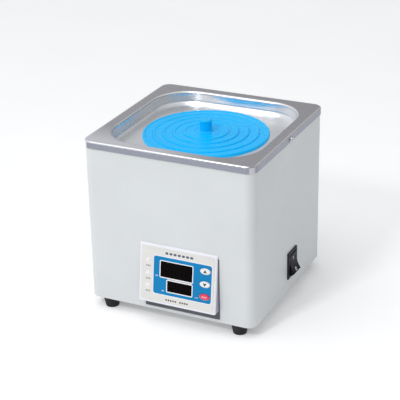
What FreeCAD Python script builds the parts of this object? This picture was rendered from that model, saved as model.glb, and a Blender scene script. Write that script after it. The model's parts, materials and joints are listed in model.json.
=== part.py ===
"""Single-hole laboratory water bath: a steel casing with a pressed stainless top, a round hole closed
by nesting ring lids, a drawn tank with its heater, and a tilted control panel. Millimetres, +Z up,
front at -Y. Everything is drawn about the vertical axis of the tank, with z = 0 on the bench, and is
moved by ORIGIN_SHIFT when it is saved, so that the origin is the middle of the overall outline."""
import FreeCAD, Part
import math
import os

V = FreeCAD.Vector
UP = V(0, 0, 1)

# ---- driving dimensions ----
TOP_Z = 199.0            # top of the deck above the bench
DECK_HALF = 100.0        # half the width of the square deck
DECK_R = 11.8            # deck corner radius
SHEET = 0.8              # stainless sheet
SKIRT = 8.0              # height of the deck's skirt
CASING_HALF = 99.0
CASING_R = 10.4
CASING_T = 1.0
FOLD_R = 1.6             # outside radius of the casing's folded top edge
FOOT_H = 13.0
FOOT_X = 78.0
FOOT_Y = 88.0
FOOT_R = 9.9             # at the top of a foot

WELL_HALF = 85.8         # recess pressed into the deck
WELL_R = 41.0
WELL_DEPTH = 14.0
HOLE_R = 65.0            # round opening in the recess floor

TANK_HALF = 76.0         # inside half width of the tank
TANK_R = 34.0
TANK_FLOOR = 80.0        # inside face of the tank floor

LID_R = 70.0             # radius of the outermost lid ring
LID_PITCH = 11.2         # each ring is this much smaller than the one around it
LID_STEP = 0.45          # each ring stands this much higher
LID_RISE = 2.3           # top of the outermost ring above the recess floor
LID_T = 1.7
LID_LAP = 3.0            # how far a ring rests on the ring around it
BEAD = 0.65              # how far a lid's rolled edge stands above its plate
RING_COUNT = 4
KNOB_R = 7.0
KNOB_H = 14.0

PANEL_X = (-32.4, 58.6)  # left and right sides of the control panel
PANEL_TOP = 92.8
PANEL_FACE_TOP = (-101.4, 90.2)     # y and z of the tilted face's upper edge
PANEL_FACE_LOW = (-109.5, 27.0)     # y and z of its lower edge
PANEL_WALL = 2.0
CASING_CUT = (-28.6, 54.8, 33.5, 85.3)   # opening behind the panel: x, x, z, z
UPPER_WINDOW = (-1.2, 8.6, 38.0, 18.0)   # u, v, width, height on the tilted face
LOWER_WINDOW = (2.9, -9.8, 29.4, 12.6)
KEY_U = 32.8
LED_U = -34.6
ROW_V = (15.6, 0.9, -13.2)          # rows shared by the keys and the indicator lights
KEY_A = 5.8              # half axes of an oval key
KEY_B = 3.3
KEY_GAP = 0.3
KEY_TRAVEL = 0.8
BOARD_N = -8.0           # front of the control board, measured from the tilted face

SWITCH_Y = 7.6           # rocker switch on the right-hand side
SWITCH_Z = 43.4
SWITCH_BEZEL = (12.75, 15.75)
SWITCH_CAVITY = (9.9, 13.5)
ROCKER_R = 13.1          # the rocker's ends turn on this radius about its pin
ROCKER_HALF_Y = 9.5
ROCKER_PIVOT_X = 97.0
ROCKER_TILT = 12.0       # degrees either side of the middle position

INLET_X = 45.0           # mains inlet on the back
INLET_Z = 45.0

SHELF_Z = 104.0          # underside of the perforated shelf
SHELF_R = 62.0
HEATER_X = 28.0          # heater legs
HEATER_Y = 48.0
HEATER_Z = 92.0
PROBE_X = 27.0
PROBE_Z = 100.0
PROBE_BACK = 9.0         # how far the probe stands out behind the tank wall

ORIGIN_SHIFT = V(-2.2, 3.25, 0)

# ---- worked-out levels ----
WELL_FLOOR = TOP_Z - WELL_DEPTH
CASING_TOP = TOP_Z - SHEET
BASE_T = 1.2
BASE_TOP = FOOT_H + BASE_T
FLANGE_TOP = BASE_TOP + CASING_T
TANK_OUT = TANK_HALF + SHEET
TANK_RIM = WELL_FLOOR - SHEET
POWER_BOARD_Z = 22.0
BOARD_T = 1.6


def save(name, shape):
    """Move a piece to the object's origin and write it."""
    moved = shape.copy()
    moved.translate(ORIGIN_SHIFT)
    moved.exportStep("parts/%s.step" % name)


def box(x0, x1, y0, y1, z0, z1):
    return Part.makeBox(x1 - x0, y1 - y0, z1 - z0, V(x0, y0, z0))


def rod(radius, start, direction, length):
    return Part.makeCylinder(radius, length, V(*start), V(*direction))


def slab(half_x, half_y, radius, z0, z1, centre=(0, 0)):
    """Upright block whose outline is a rectangle with rounded corners."""
    cx, cy = centre
    x, y, r = half_x, half_y, radius
    s = r * (1 - math.sqrt(0.5))
    corners = [(1, -1), (1, 1), (-1, 1), (-1, -1)]
    edges = []
    ends = []
    for k, (sx, sy) in enumerate(corners):
        a = V(cx + sx * (x if k % 2 else x - r), cy + sy * (y - r if k % 2 else y), z0)
        b = V(cx + sx * (x - r if k % 2 else x), cy + sy * (y if k % 2 else y - r), z0)
        middle = V(cx + sx * (x - s), cy + sy * (y - s), z0)
        edges.append(Part.Arc(a, middle, b).toShape())
        ends.append((a, b))
    for k in range(4):
        a = ends[k][1]
        b = ends[(k + 1) % 4][0]
        if a.distanceToPoint(b) > 1e-6:
            edges.append(Part.LineSegment(a, b).toShape())
    wire = Part.Wire(Part.__sortEdges__(edges))
    return Part.Face(wire).extrude(V(0, 0, z1 - z0))


def edges_at(shape, z, half):
    """Edges that lie in the level z and inside a square of the given half width."""
    found = []
    for edge in shape.Edges:
        b = edge.BoundBox
        inside = max(abs(b.XMin), abs(b.XMax), abs(b.YMin), abs(b.YMax)) < half
        if inside and abs(b.ZMin - z) < 1e-3 and abs(b.ZMax - z) < 1e-3:
            found.append(edge)
    return found


def turned(profile):
    """Solid of revolution about the Z axis; a profile point may be an arc given as (through, end)."""
    edges = []
    here = profile[0]
    for item in profile[1:] + [profile[0]]:
        if len(item) == 2 and isinstance(item[0], tuple):
            through, end = item
            arc = Part.Arc(V(here[0], 0, here[1]), V(through[0], 0, through[1]), V(end[0], 0, end[1]))
            edges.append(arc.toShape())
            here = end
        else:
            edges.append(Part.LineSegment(V(here[0], 0, here[1]), V(item[0], 0, item[1])).toShape())
            here = item
    return Part.Face(Part.Wire(edges)).revolve(V(0, 0, 0), UP, 360)


def quarter(x, z, radius, middle):
    """Quarter arc about (x, z), as a profile item: its mid point at the angle middle, and its end."""
    mid = math.radians(middle)
    end = math.radians(middle + 45)
    return ((x + radius * math.cos(mid), z + radius * math.sin(mid)),
            (x + radius * math.cos(end), z + radius * math.sin(end)))


def hexagon(across, z0, z1, centre):
    radius = across / math.sqrt(3)
    corners = []
    for k in range(7):
        angle = math.radians(60 * k)
        corners.append(V(centre[0] + radius * math.cos(angle), centre[1] + radius * math.sin(angle), z0))
    return Part.Face(Part.makePolygon(corners)).extrude(V(0, 0, z1 - z0))


def bent_tube(points, radius, bend):
    """Round bar along straight runs joined by tangent arcs."""
    pts = [V(*p) for p in points]
    edges = []
    here = pts[0]
    for k in range(1, len(pts) - 1):
        back = (pts[k - 1] - pts[k]).normalize()
        ahead = (pts[k + 1] - pts[k]).normalize()
        half_turn = (math.pi - back.getAngle(ahead)) / 2
        reach = bend * math.tan(half_turn)
        a = pts[k] + back * reach
        b = pts[k] + ahead * reach
        bisector = (back + ahead).normalize()
        middle = pts[k] + bisector * (bend / math.cos(half_turn) - bend)
        edges.append(Part.LineSegment(here, a).toShape())
        edges.append(Part.Arc(a, middle, b).toShape())
        here = b
    edges.append(Part.LineSegment(here, pts[-1]).toShape())
    path = Part.Wire(edges)
    section = Part.Wire([Part.makeCircle(radius, pts[0], pts[1] - pts[0])])
    return path.makePipeShell([section], True, False)


# ---- the control panel's own axes: u to the right, v up the tilted face, n out of it ----
def panel_frame():
    low = V(0, *PANEL_FACE_LOW)
    top = V(0, *PANEL_FACE_TOP)
    v = (top - low).normalize()
    u = V(1, 0, 0)
    n = u.cross(v)
    origin = (low + top) * 0.5 + V(sum(PANEL_X) / 2, 0, 0)
    return FreeCAD.Matrix(u.x, v.x, n.x, origin.x, u.y, v.y, n.y, origin.y, u.z, v.z, n.z, origin.z)


PANEL = panel_frame()


def on_panel(shape):
    """Carry a shape drawn in (u, v, n) to its place on the tilted face."""
    return shape.transformed(PANEL)


def face_y(z):
    """Depth of the tilted face at a level."""
    (y0, z0), (y1, z1) = PANEL_FACE_TOP, PANEL_FACE_LOW
    return y0 + (y1 - y0) * (z - z0) / (z1 - z0)


def block_uv(window, n0, n1, grow=0.0, radius=0.8):
    u, v, width, height = window
    return slab(width / 2 + grow, height / 2 + grow, radius, n0, n1, (u, v))


def oval(u, v, a, b, n0, n1):
    """Upright elliptical block with half axes a and b."""
    ellipse = Part.Ellipse(V(u, v, n0), a, b).toShape()
    return Part.Face(Part.Wire([ellipse])).extrude(V(0, 0, n1 - n0))


# ---- deck and casing ----
def well(half, radius, floor, rim, floor_fillet, rim_fillet):
    """Space above the deck: the recess with a rounded bottom and a flared mouth."""
    hollow = slab(half, half, radius, floor, rim + 1)
    hollow = hollow.makeFillet(floor_fillet, edges_at(hollow, floor, half + 0.1))
    above = slab(DECK_HALF + 5, DECK_HALF + 5, DECK_R, rim, rim + 10)
    space = hollow.fuse(above).removeSplitter()
    return space.makeFillet(rim_fillet, edges_at(space, rim, half + 0.1))


DECK_SCREW_Z = 193.5
DECK_SCREW_R = 1.9
WELL_FILLET = 4.0
RIM_FILLET = 3.0


def deck():
    inner = DECK_HALF - SHEET
    skirt_z = TOP_Z - SKIRT
    block = slab(DECK_HALF, DECK_HALF, DECK_R, WELL_FLOOR - 5, TOP_Z)
    block = block.makeFillet(1.6, edges_at(block, TOP_Z, DECK_HALF + 1))
    over = well(WELL_HALF, WELL_R, WELL_FLOOR, TOP_Z, WELL_FILLET, RIM_FILLET)
    under = slab(inner, inner, DECK_R - SHEET, WELL_FLOOR - 10, CASING_TOP)
    under = under.makeFillet(0.8, edges_at(under, CASING_TOP, DECK_HALF + 1))
    pan = well(WELL_HALF + SHEET, WELL_R + SHEET, WELL_FLOOR - SHEET, CASING_TOP,
               WELL_FILLET + SHEET, RIM_FILLET - SHEET)
    outside = slab(DECK_HALF + 5, DECK_HALF + 5, DECK_R, WELL_FLOOR - 10, skirt_z)
    outside = outside.cut(slab(inner, inner, DECK_R - SHEET, WELL_FLOOR - 12, skirt_z + 1))
    sheet = block.cut(over).cut(under.cut(pan)).cut(outside)
    sheet = sheet.cut(rod(HOLE_R, (0, 0, WELL_FLOOR - 3), (0, 0, 1), 6))
    for side in (-1, 1):
        start = (side * (inner - 1), 0, DECK_SCREW_Z)
        sheet = sheet.cut(rod(DECK_SCREW_R + 0.3, start, (side, 0, 0), 3))
    return sheet


def casing():
    inner = CASING_HALF - CASING_T
    inner_r = CASING_R - CASING_T
    shell = slab(CASING_HALF, CASING_HALF, CASING_R, FOOT_H, CASING_TOP)
    shell = shell.makeFillet(FOLD_R, edges_at(shell, CASING_TOP, CASING_HALF + 1))
    shell = shell.cut(slab(inner, inner, inner_r, FLANGE_TOP, CASING_TOP - CASING_T))
    shell = shell.cut(slab(90, 90, 10, CASING_TOP - 3, CASING_TOP + 1))
    shell = shell.cut(slab(84, 84, 8, FOOT_H - 1, FLANGE_TOP + 1))
    shell = shell.cut(slab(inner, inner, inner_r, FOOT_H - 1, BASE_TOP))
    x0, x1, z0, z1 = CASING_CUT
    cuts = [box(x0, x1, -CASING_HALF - 1, -inner + 1, z0, z1)]
    cuts.append(box(inner - 1, CASING_HALF + 1, SWITCH_Y - 11.0, SWITCH_Y + 11.0,
                    SWITCH_Z - 14.2, SWITCH_Z + 14.2))
    cuts.append(box(INLET_X - 13.6, INLET_X + 13.6, inner - 1, CASING_HALF + 1,
                    INLET_Z - 10.0, INLET_Z + 10.0))
    for side in (-1, 1):
        cuts.append(rod(1.6, (INLET_X + side * 20, inner - 1, INLET_Z), (0, 1, 0), 3))
        cuts.append(rod(1.6, (PANEL_SCREW_MID + side * PANEL_SCREW_HALF, -CASING_HALF - 1, PANEL_SCREW_Z),
                        (0, 1, 0), 3))
        cuts.append(rod(DECK_SCREW_R, (side * (inner - 1), 0, DECK_SCREW_Z), (side, 0, 0), 3))
        for up in (-1, 1):
            cuts.append(rod(2.0, (side * FOOT_X, up * FOOT_Y, FOOT_H), (0, 0, 1), 4))
        cuts.append(rod(1.6, (side * 90, 0, FOOT_H), (0, 0, 1), 4))
        cuts.append(rod(1.6, (0, side * 90, FOOT_H), (0, 0, 1), 4))
    for cut in cuts:
        shell = shell.cut(cut)
    return shell


def deck_screws():
    """Pan-head screws that hold the skirt to the casing at the middle of each side."""
    screws = []
    for side in (-1, 1):
        head = rod(3.3, (side * DECK_HALF, 0, DECK_SCREW_Z), (side, 0, 0), 2.0)
        head = head.makeFillet(1.1, [e for e in head.Edges if abs(e.BoundBox.Center.x) > DECK_HALF + 1.9])
        slot = box(-0.4, 0.4, -0.4, 0.4, -2.6, 2.6)
        for turn in (0, 90):
            bar = slot.copy()
            bar.rotate(V(0, 0, 0), V(1, 0, 0), turn)
            bar.translate(V(side * (DECK_HALF + 1.8), 0, DECK_SCREW_Z))
            head = head.cut(bar)
        shaft = rod(DECK_SCREW_R, (side * 90, 0, DECK_SCREW_Z), (side, 0, 0), DECK_HALF - 90)
        screws.append(head.fuse(shaft).removeSplitter())
    return Part.makeCompound(screws)


def base_plate():
    """Bottom cover with cooling slots, and holes for its screws, the feet and the standoffs."""
    half = CASING_HALF - CASING_T - 0.3
    plate = slab(half, half, CASING_R - CASING_T, FOOT_H, BASE_TOP)
    for row in (-56, 0, 56):
        for k in range(7):
            x = -48 + 16 * k
            plate = plate.cut(slab(2, 14, 1.99, FOOT_H - 1, BASE_TOP + 1, (x, row)))
    for side in (-1, 1):
        for up in (-1, 1):
            plate = plate.cut(rod(2.2, (side * FOOT_X, up * FOOT_Y, FOOT_H - 1), (0, 0, 1), 4))
        plate = plate.cut(rod(1.8, (side * 90, 0, FOOT_H - 1), (0, 0, 1), 4))
        plate = plate.cut(rod(1.8, (0, side * 90, FOOT_H - 1), (0, 0, 1), 4))
    return plate


def base_screws():
    screws = []
    for x, y in ((90, 0), (-90, 0), (0, 90), (0, -90)):
        head = rod(2.8, (x, y, FOOT_H - 1.8), (0, 0, 1), 1.8)
        screws.append(head.fuse(rod(1.6, (x, y, FOOT_H), (0, 0, 1), 6)).removeSplitter())
    return Part.makeCompound(screws)


FOOT_SCREW_Z = 6.0       # seat of the screw head inside the foot


def foot(x, y):
    """Tapered rubber foot with a counterbore for its screw."""
    low_r = FOOT_R - 3.2
    top_z = FOOT_H - 0.6
    profile = [(4.4, 0), (low_r, 0), quarter(low_r, 0.8, 0.8, -45), (FOOT_R, top_z),
               quarter(FOOT_R - 0.6, top_z, 0.6, 45), (2.2, FOOT_H), (2.2, FOOT_SCREW_Z), (4.4, FOOT_SCREW_Z)]
    body = turned(profile)
    body.translate(V(x, y, 0))
    return body


def foot_screws():
    screws = []
    for x in (-FOOT_X, FOOT_X):
        for y in (-FOOT_Y, FOOT_Y):
            head = rod(3.6, (x, y, FOOT_SCREW_Z - 2.4), (0, 0, 1), 2.4)
            shaft = rod(2.0, (x, y, FOOT_SCREW_Z), (0, 0, 1), 14)
            screws.append(head.fuse(shaft).removeSplitter())
    return Part.makeCompound(screws)


# ---- tank, heater, probe and shelf ----
PROBE_HOLE_R = 5.0
HEATER_HOLE_R = 5.2
HEATER_R = 4.0


def tank():
    """Drawn stainless basin whose flange is welded under the recess floor."""
    outer = slab(TANK_OUT, TANK_OUT, TANK_R + SHEET, TANK_FLOOR - SHEET, TANK_RIM)
    outer = outer.makeFillet(8 + SHEET, edges_at(outer, TANK_FLOOR - SHEET, TANK_OUT + 1))
    inner = slab(TANK_HALF, TANK_HALF, TANK_R, TANK_FLOOR, TANK_RIM + 2)
    inner = inner.makeFillet(8, edges_at(inner, TANK_FLOOR, TANK_HALF + 1))
    flange = slab(TANK_OUT + 4.8, TANK_OUT + 4.8, TANK_R + 5.6, TANK_RIM - SHEET, TANK_RIM)
    basin = outer.fuse(flange).removeSplitter().cut(inner)
    for side in (-1, 1):
        basin = basin.cut(rod(HEATER_HOLE_R, (side * HEATER_X, HEATER_Y, TANK_FLOOR - 4), (0, 0, 1), 8))
    return basin.cut(rod(PROBE_HOLE_R, (PROBE_X, -TANK_OUT - 2, PROBE_Z), (0, 1, 0), 6))


def tank_insulation():
    """Mineral-wool band around the tank walls."""
    inner = TANK_OUT + 0.6
    outer = slab(89, 89, TANK_R + 12, 110, 178)
    return outer.cut(slab(inner, inner, TANK_R + 1.4, 109, 179))


def heater():
    """Tubular immersion heater: two legs through the floor and one long loop above it."""
    low = TANK_FLOOR - 16
    far = -HEATER_Y
    points = [(HEATER_X, HEATER_Y, low), (HEATER_X, HEATER_Y, HEATER_Z), (HEATER_X, far, HEATER_Z),
              (-HEATER_X, far, HEATER_Z), (-HEATER_X, HEATER_Y, HEATER_Z), (-HEATER_X, HEATER_Y, low)]
    return bent_tube(points, HEATER_R, 8.0)


def heater_nuts():
    """Gland nuts that clamp the heater legs to the tank floor."""
    nuts = []
    for side in (-1, 1):
        centre = (side * HEATER_X, HEATER_Y)
        nut = hexagon(16.0, TANK_FLOOR - SHEET - 6.5, TANK_FLOOR - SHEET - 1.5, centre)
        nuts.append(nut.cut(rod(HEATER_R, (*centre, TANK_FLOOR - 12), (0, 0, 1), 14)))
    return Part.makeCompound(nuts)


def heater_seals():
    """Silicone bushes that fill the floor holes around the heater legs."""
    seals = []
    for side in (-1, 1):
        x, y = side * HEATER_X, HEATER_Y
        under = rod(7.5, (x, y, TANK_FLOOR - SHEET - 1.5), (0, 0, 1), 1.5)
        neck = rod(HEATER_HOLE_R, (x, y, TANK_FLOOR - SHEET), (0, 0, 1), SHEET)
        over = rod(7.5, (x, y, TANK_FLOOR), (0, 0, 1), 1.5)
        seal = under.fuse(neck).fuse(over).removeSplitter()
        seals.append(seal.cut(rod(HEATER_R, (x, y, TANK_FLOOR - 5), (0, 0, 1), 10)))
    return Part.makeCompound(seals)


def temperature_probe():
    """Closed stainless sheath that reaches into the water through the front wall of the tank."""
    start = -TANK_OUT - PROBE_BACK
    length = 50
    sheath = rod(3.0, (PROBE_X, start, PROBE_Z), (0, 1, 0), length)
    return sheath.makeFillet(2.2, [e for e in sheath.Edges if e.BoundBox.YMin > start + length - 1])


def probe_gland():
    body = rod(8.0, (PROBE_X, -TANK_OUT - 2.0, PROBE_Z), (0, 1, 0), 2.0)
    body = body.fuse(rod(PROBE_HOLE_R, (PROBE_X, -TANK_OUT, PROBE_Z), (0, 1, 0), SHEET))
    body = body.fuse(rod(7.0, (PROBE_X, -TANK_HALF, PROBE_Z), (0, 1, 0), 3.5))
    body = body.fuse(rod(6.0, (PROBE_X, -TANK_OUT - 7.0, PROBE_Z), (0, 1, 0), 5.0))
    return body.removeSplitter().cut(rod(3.0, (PROBE_X, -TANK_OUT - 20, PROBE_Z), (0, 1, 0), 60))


def overheat_thermostat():
    """Bimetal cut-out held against the underside of the tank by a strap with two ears."""
    top = TANK_FLOOR - SHEET
    cup = rod(8.0, (0, 0, top - 4.5), (0, 0, 1), 4.5)
    ears = slab(15, 4.5, 4.4, top - 5.3, top - 4.5)
    body = rod(7.6, (0, 0, top - 12), (0, 0, 1), 6.7)
    blades = box(-6.5, -1.5, -0.4, 0.4, top - 20, top - 12).fuse(box(1.5, 6.5, -0.4, 0.4, top - 20, top - 12))
    return cup.fuse(ears).fuse(body).fuse(blades).removeSplitter()


def shelf():
    """Perforated plate on three bent legs, which keeps flasks off the heater."""
    plate = rod(SHELF_R, (0, 0, SHELF_Z), (0, 0, 1), 1.2)
    holes = [rod(4.0, (0, 0, SHELF_Z - 1), (0, 0, 1), 4)]
    for ring in range(1, 4):
        for k in range(6 * ring):
            angle = math.radians(60.0 * k / ring)
            place = (16.0 * ring * math.cos(angle), 16.0 * ring * math.sin(angle), SHELF_Z - 1)
            holes.append(rod(4.0, place, (0, 0, 1), 4))
    plate = plate.cut(Part.makeCompound(holes))
    for angle in (45, 135, 225, 315):
        leg = box(SHELF_R - 3.2, SHELF_R - 2, -4, 4, TANK_FLOOR + 0.05, SHELF_Z + 0.5)
        pad = box(SHELF_R - 10, SHELF_R - 2, -4, 4, TANK_FLOOR + 0.05, TANK_FLOOR + 1.25)
        leg = leg.fuse(pad)
        leg.rotate(V(0, 0, 0), UP, angle)
        plate = plate.fuse(leg)
    return plate.removeSplitter()


# ---- lids ----
def lid_radius(k):
    return LID_R - LID_PITCH * k


def lid_top(k):
    return WELL_FLOOR + LID_RISE + LID_STEP * k


def rolled_edge(k):
    """The outer edge of lid k, from its underside up over the bead to its plate."""
    r, z = lid_radius(k), lid_top(k)
    return [(r, z - 0.9), ((r - 1.2, z), (r - 3.2, z - BEAD))]


def lid_ring(k):
    """Ring lid with a rolled outer edge, and a sunk ledge that carries the next ring."""
    r = lid_radius(k)
    low = lid_top(k) - LID_T if k else WELL_FLOOR
    plate = lid_top(k) - BEAD
    seat_r = lid_radius(k + 1) + 0.35
    ledge = lid_top(k + 1) - LID_T
    under = min(low, ledge - 1.0)
    bore = lid_radius(k + 1) - LID_LAP
    profile = [(r, low)] + rolled_edge(k) + [(seat_r, plate), (seat_r, ledge), (bore, ledge), (bore, under)]
    if under < low:
        profile += [(seat_r + 1.2, under), (seat_r + 1.2, low)]
    ring = turned(profile)
    if k == 0:
        lip = rod(64.4, (0, 0, WELL_FLOOR - 2.5), (0, 0, 1), 3.0)
        ring = ring.fuse(lip.cut(rod(63.0, (0, 0, WELL_FLOOR - 3), (0, 0, 1), 5))).removeSplitter()
    return ring


def lid_cap():
    """Middle lid: a disc with a raised circle half way out and a hole for the knob's screw."""
    k = RING_COUNT
    r = lid_radius(k)
    low = lid_top(k) - LID_T
    plate = lid_top(k) - BEAD
    mid = r - LID_PITCH
    profile = [(1.6, low), (r, low)] + rolled_edge(k)
    profile += [(mid + 1.5, plate), ((mid, plate + 0.45), (mid - 1.5, plate)), (1.6, plate)]
    return turned(profile)


def lid_knob():
    z = lid_top(RING_COUNT) - BEAD
    top = z + KNOB_H
    crown = 1.6
    profile = [(1.2, z), (KNOB_R + 1.2, z), ((KNOB_R + 0.3, z + 0.5), (KNOB_R - 0.4, z + 2.0)),
               (KNOB_R - 0.2, top - 4), (KNOB_R, top - crown),
               quarter(KNOB_R - crown, top - crown, crown, 45), (0, top), (0, z + 7), (1.2, z + 7)]
    return turned(profile)


def knob_screw():
    low = lid_top(RING_COUNT) - LID_T
    head = rod(3.0, (0, 0, low - 1.8), (0, 0, 1), 1.8)
    return head.fuse(rod(1.2, (0, 0, low), (0, 0, 1), 8.0)).removeSplitter()


# ---- control panel ----
PANEL_SCREW_Z = PANEL_FACE_LOW[1] + 3.7
PANEL_SCREW_MID = (PANEL_X[0] + PANEL_X[1]) / 2
PANEL_SCREW_HALF = 34.0
POST_U = 24.5
POST_V = 21.3
LED_R = 2.4
FASCIA_T = 0.4
KEY_BACK = -3.2          # back of a key's flange, at rest


def keys():
    return [("key_up", ROW_V[0]), ("key_down", ROW_V[1]), ("key_set", ROW_V[2])]


def face_holes(n0, n1):
    """Cutters for the windows, keys and lights, across the depth n0 to n1."""
    holes = [block_uv(UPPER_WINDOW, n0, n1), block_uv(LOWER_WINDOW, n0, n1)]
    for v in ROW_V:
        holes.append(oval(KEY_U, v, KEY_A + KEY_GAP, KEY_B + KEY_GAP, n0, n1))
        holes.append(rod(LED_R + 0.15, (LED_U, v, n0), (0, 0, 1), n1 - n0))
    return holes


def panel_housing():
    """Wedge-shaped moulded box on the front, open to the casing, with hooks, bosses and board posts."""
    back = -CASING_HALF
    outline = [(back, PANEL_TOP), (back - 0.9, PANEL_TOP), PANEL_FACE_TOP, PANEL_FACE_LOW,
               (back, PANEL_FACE_LOW[1])]
    x0, x1 = PANEL_X
    wire = Part.makePolygon([V(x0, y, z) for y, z in outline + outline[:1]])
    body = Part.Face(wire).extrude(V(x1 - x0, 0, 0))
    rounded = []
    for edge in body.Edges:
        b = edge.BoundBox
        if b.XLength < 1e-3 and b.ZLength > 40 and b.YMin < back - 5:
            rounded.append(edge)
    body = body.makeFillet(1.6, rounded)
    t = PANEL_WALL
    top = PANEL_TOP - 4.0
    low = PANEL_FACE_LOW[1] + t
    catch = CASING_CUT[3]
    hollow = [(back + 1, top), (face_y(top) + t, top), (face_y(low) + t, low), (back + 1, low)]
    wire = Part.makePolygon([V(x0 + t, y, z) for y, z in hollow + hollow[:1]])
    body = body.cut(Part.Face(wire).extrude(V(x1 - x0 - 2 * t, 0, 0)))
    for side in (-1, 1):
        x = PANEL_SCREW_MID + side * PANEL_SCREW_HALF
        boss = rod(3.0, (x, face_y(PANEL_SCREW_Z) + 1, PANEL_SCREW_Z), (0, 1, 0),
                   back - face_y(PANEL_SCREW_Z) - 1)
        body = body.fuse(boss)
        hook = box(x - 4, x + 4, face_y(catch) + 1, back + 2.6, catch - 2.3, catch - 0.6)
        lip = box(x - 4, x + 4, back + 1.1, back + 2.6, catch - 1.0, catch + 3.0)
        body = body.fuse(hook.fuse(lip))
    for u in (-POST_U, POST_U):
        for v in (-POST_V, POST_V):
            body = body.fuse(on_panel(rod(1.9, (u, v, BOARD_N), (0, 0, 1), -BOARD_N - 1)))
    body = body.removeSplitter()
    for hole in face_holes(-PANEL_WALL - 4, 1):
        body = body.cut(on_panel(hole))
    for side in (-1, 1):
        x = PANEL_SCREW_MID + side * PANEL_SCREW_HALF
        body = body.cut(rod(1.2, (x, back - 7, PANEL_SCREW_Z), (0, 1, 0), 9))
    for u in (-POST_U, POST_U):
        for v in (-POST_V, POST_V):
            body = body.cut(on_panel(rod(0.9, (u, v, BOARD_N - 1), (0, 0, 1), 6)))
    return body


def panel_fascia():
    """Printed overlay on the tilted face, pierced for the windows, keys and lights."""
    half_u = (PANEL_X[1] - PANEL_X[0]) / 2 - 2.6
    sheet = slab(half_u, 29.6, 2.0, 0, FASCIA_T)
    for hole in face_holes(-1, 1):
        sheet = sheet.cut(hole)
    return on_panel(sheet)


def display_window(window):
    return on_panel(block_uv(window, -1.6, 0.0, -0.05, 0.75))


def display_module(window):
    """Seven-segment block between the window and the control board."""
    u, v, width, height = window
    return on_panel(box(u - width / 2 + 0.3, u + width / 2 - 0.3, v - height / 2 + 0.3, v + height / 2 - 0.3,
                        BOARD_N, -1.6))


def indicator_light(v):
    body = rod(LED_R, (LED_U, v, BOARD_N), (0, 0, 1), -BOARD_N + FASCIA_T)
    dome = Part.makeSphere(3.2, V(LED_U, v, FASCIA_T - 2.1))
    dome = dome.common(rod(LED_R, (LED_U, v, 0), (0, 0, 1), 3))
    return on_panel(body.fuse(dome).removeSplitter())


def key(v):
    """Oval push key with a flange that keeps it behind the panel wall."""
    cap = oval(KEY_U, v, KEY_A, KEY_B, KEY_BACK, 1.5)
    rim = [e for e in cap.Edges if e.BoundBox.ZMin > 1.4]
    cap = cap.makeFillet(0.5, rim)
    flange = oval(KEY_U, v, KEY_A + 1.0, KEY_B + 1.0, KEY_BACK, KEY_BACK + 1.0)
    return on_panel(cap.fuse(flange).removeSplitter())


def key_switches():
    """Tactile switches on the control board, each just short of its pressed key."""
    switches = []
    top = KEY_BACK - KEY_TRAVEL - 0.1
    for v in ROW_V:
        body = slab(3.0, 3.0, 0.3, BOARD_N, top - 0.5, (KEY_U, v))
        plunger = rod(1.7, (KEY_U, v, top - 0.5), (0, 0, 1), 0.5)
        switches.append(on_panel(body.fuse(plunger).removeSplitter()))
    return Part.makeCompound(switches)


def control_board():
    board = slab(40.0, 23.0, 1.0, BOARD_N - BOARD_T, BOARD_N)
    for u in (-POST_U, POST_U):
        for v in (-POST_V, POST_V):
            board = board.cut(rod(0.9, (u, v, BOARD_N - 3), (0, 0, 1), 6))
    plug = box(-9, 9, -3, 3, BOARD_N - BOARD_T - 6, BOARD_N - BOARD_T)
    return on_panel(board.fuse(plug).removeSplitter())


def control_board_screws():
    screws = []
    low = BOARD_N - BOARD_T
    for u in (-POST_U, POST_U):
        for v in (-POST_V, POST_V):
            head = rod(1.7, (u, v, low - 1.3), (0, 0, 1), 1.3)
            screws.append(on_panel(head.fuse(rod(0.9, (u, v, low), (0, 0, 1), 5.0)).removeSplitter()))
    return Part.makeCompound(screws)


def panel_screws():
    screws = []
    back = -CASING_HALF
    for side in (-1, 1):
        x = PANEL_SCREW_MID + side * PANEL_SCREW_HALF
        head = rod(2.6, (x, back + CASING_T, PANEL_SCREW_Z), (0, 1, 0), 1.8)
        shaft = rod(1.2, (x, back - 6, PANEL_SCREW_Z), (0, 1, 0), 6 + CASING_T)
        screws.append(head.fuse(shaft).removeSplitter())
    return Part.makeCompound(screws)


# ---- rocker switch ----
def switch_body():
    """Snap-in body with its bezel, a pocket for the rocker and bores for the rocker's pins."""
    half_y, half_z = SWITCH_BEZEL
    cav_y, cav_z = SWITCH_CAVITY
    y, z, wall = SWITCH_Y, SWITCH_Z, CASING_HALF
    bezel = box(wall, wall + 2.0, y - half_y, y + half_y, z - half_z, z + half_z)
    front = [e for e in bezel.Edges if e.BoundBox.XMin > wall + 1.9]
    bezel = bezel.makeFillet(0.8, front)
    body = bezel.fuse(box(wall - 28, wall, y - 10.9, y + 10.9, z - 14.1, z + 14.1)).removeSplitter()
    body = body.cut(box(84, wall + 3, y - cav_y, y + cav_y, z - cav_z, z + cav_z))
    return body.cut(rod(1.55, (ROCKER_PIVOT_X, y - 10.7, z), (0, 1, 0), 21.4))


def switch_terminals():
    """Four blade terminals out of the back of the switch."""
    blades = []
    for dy in (-5, 5):
        for dz in (-7, 7):
            y, z = SWITCH_Y + dy, SWITCH_Z + dz
            blades.append(box(62, CASING_HALF - 28, y - 3.15, y + 3.15, z - 0.4, z + 0.4))
    return Part.makeCompound(blades)


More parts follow.
